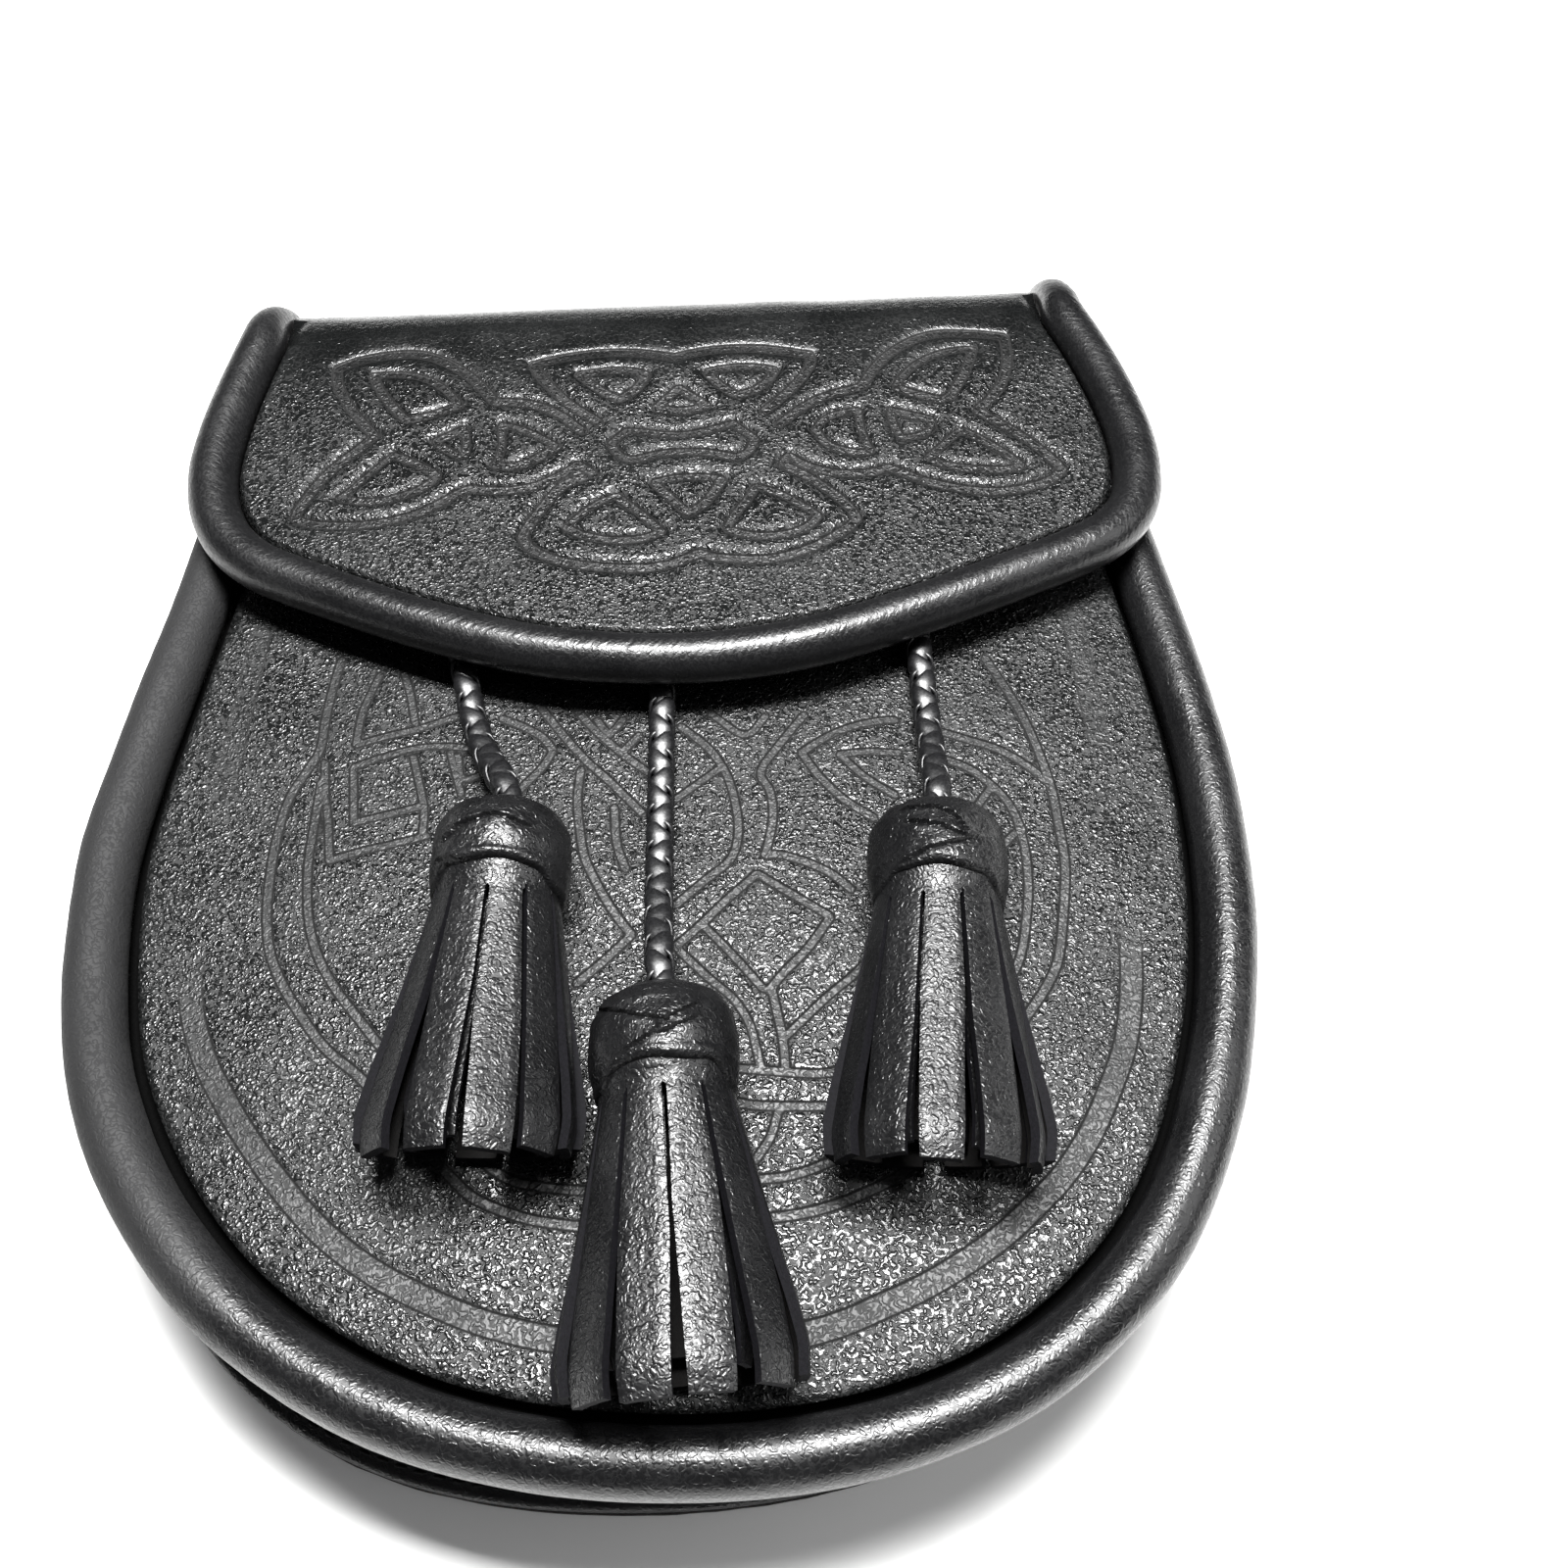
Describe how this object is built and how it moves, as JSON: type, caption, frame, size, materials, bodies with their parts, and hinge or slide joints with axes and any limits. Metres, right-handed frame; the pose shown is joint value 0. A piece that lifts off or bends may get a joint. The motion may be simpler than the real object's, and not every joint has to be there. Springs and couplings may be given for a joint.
{
  "type": "sporran pouch",
  "caption": "Black leather sporran pouch with a rolled rim, a rounded flap stamped with knotwork, leather tassels on braided cords, and D rings on the back to hang it by.",
  "frame": {"origin": "middle of the pouch's outline, on the surface it lies on", "axes": "+Z out of the front panel, up as it lies on its back; +Y towards the fold at the top of the flap; +X towards the right of the pouch as it is seen from in front"},
  "size_m": [0.201, 0.2434, 0.0582],
  "materials": {
    "smooth_leather": "black, satin, finely creased",
    "grained_leather": "black, pebble grained, stamped",
    "braided_cord": "black, glossy, braided from narrow strands",
    "nickel_steel": "nickel plated"
  },
  "bodies": {
    "root": {"back_panel": "smooth_leather", "gusset": "smooth_leather", "front_panel": "grained_leather", "body_roll": "smooth_leather", "flap": "grained_leather", "flap_roll": "smooth_leather", "tassel_left": "smooth_leather", "tassel_middle": "smooth_leather", "tassel_right": "smooth_leather", "cord_left": "braided_cord", "cord_middle": "braided_cord", "cord_right": "braided_cord", "knot_left": "braided_cord", "knot_middle": "braided_cord", "knot_right": "braided_cord", "press_stud": "nickel_steel", "d_ring_left": "nickel_steel", "d_ring_right": "nickel_steel", "ring_keeper_left": "smooth_leather", "ring_keeper_right": "smooth_leather"}
  },
  "joints": []
}
